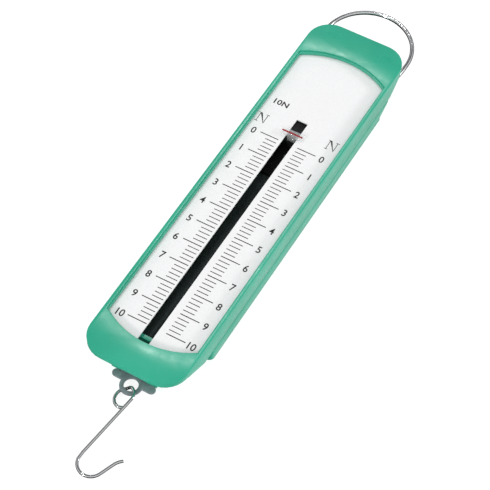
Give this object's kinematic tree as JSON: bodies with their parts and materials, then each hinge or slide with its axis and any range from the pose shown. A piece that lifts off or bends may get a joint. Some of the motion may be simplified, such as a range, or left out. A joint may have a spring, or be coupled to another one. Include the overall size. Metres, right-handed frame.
{
  "type": "box spring balance",
  "caption": "Flat box spring balance reading newtons: slotted scale under a window, sliding pointer on a draw bar, hanging ring and wire hook.",
  "frame": {"origin": "under the middle of the whole object, on the surface it lies on, back down", "axes": "+Z out of the scale face, +Y along the case towards the hanging ring, +X to the right of the scale face"},
  "size_m": [0.038, 0.2212, 0.013],
  "materials": {
    "green_plastic": "satin moulded",
    "black_plastic": "satin moulded",
    "zinc_steel": "zinc plated, dull",
    "dark_steel": "blackened, dull",
    "bright_wire": "bright plated wire",
    "spring_steel": "plated, satin",
    "scale_plate_white": "matt white with printed scale",
    "clear_acrylic": "clear, polished",
    "red_line": "painted line"
  },
  "bodies": {
    "case": {"front_case": "green_plastic", "rear_cover": "green_plastic", "scale_plate": "scale_plate_white", "cover_screw_1": "spring_steel", "cover_screw_2": "spring_steel", "cover_screw_3": "spring_steel", "cover_screw_4": "spring_steel", "spring": "spring_steel", "spring_hook_top": "spring_steel"},
    "ring": {"hanging_ring": "bright_wire"},
    "draw": {"draw_bar": "dark_steel", "lug_plate": "zinc_steel", "lug_rivet_1": "dark_steel", "lug_rivet_2": "dark_steel", "pointer_carrier": "black_plastic", "carrier_rivet_1": "dark_steel", "carrier_rivet_2": "dark_steel", "spring_hook_bottom": "spring_steel"},
    "pointer": {"pointer": "clear_acrylic", "index_line": "red_line"},
    "hook": {"hook": "bright_wire"}
  },
  "joints": [
    {"name": "draw_pull", "type": "slide", "parent": "case", "child": "draw", "axis": [0, -1, 0], "range_m": [0, 0.0945], "stiffness_N_per_m": 111, "deforming": ["spring"]},
    {"name": "ring_swing", "type": "hinge", "parent": "case", "child": "ring", "pos_m": [0, 0.07204, 0.00505], "axis": [1, 0, 0], "range_deg": [-101, 11]},
    {"name": "zero_trim", "type": "slide", "parent": "draw", "child": "pointer", "axis": [0, 1, 0], "range_m": [-0.0005, 0.0015]},
    {"name": "hook_swing", "type": "hinge", "parent": "draw", "child": "hook", "pos_m": [0.0015, -0.07506, 0.0024], "axis": [0, 0, 1], "range_deg": [-30, 30]}
  ]
}
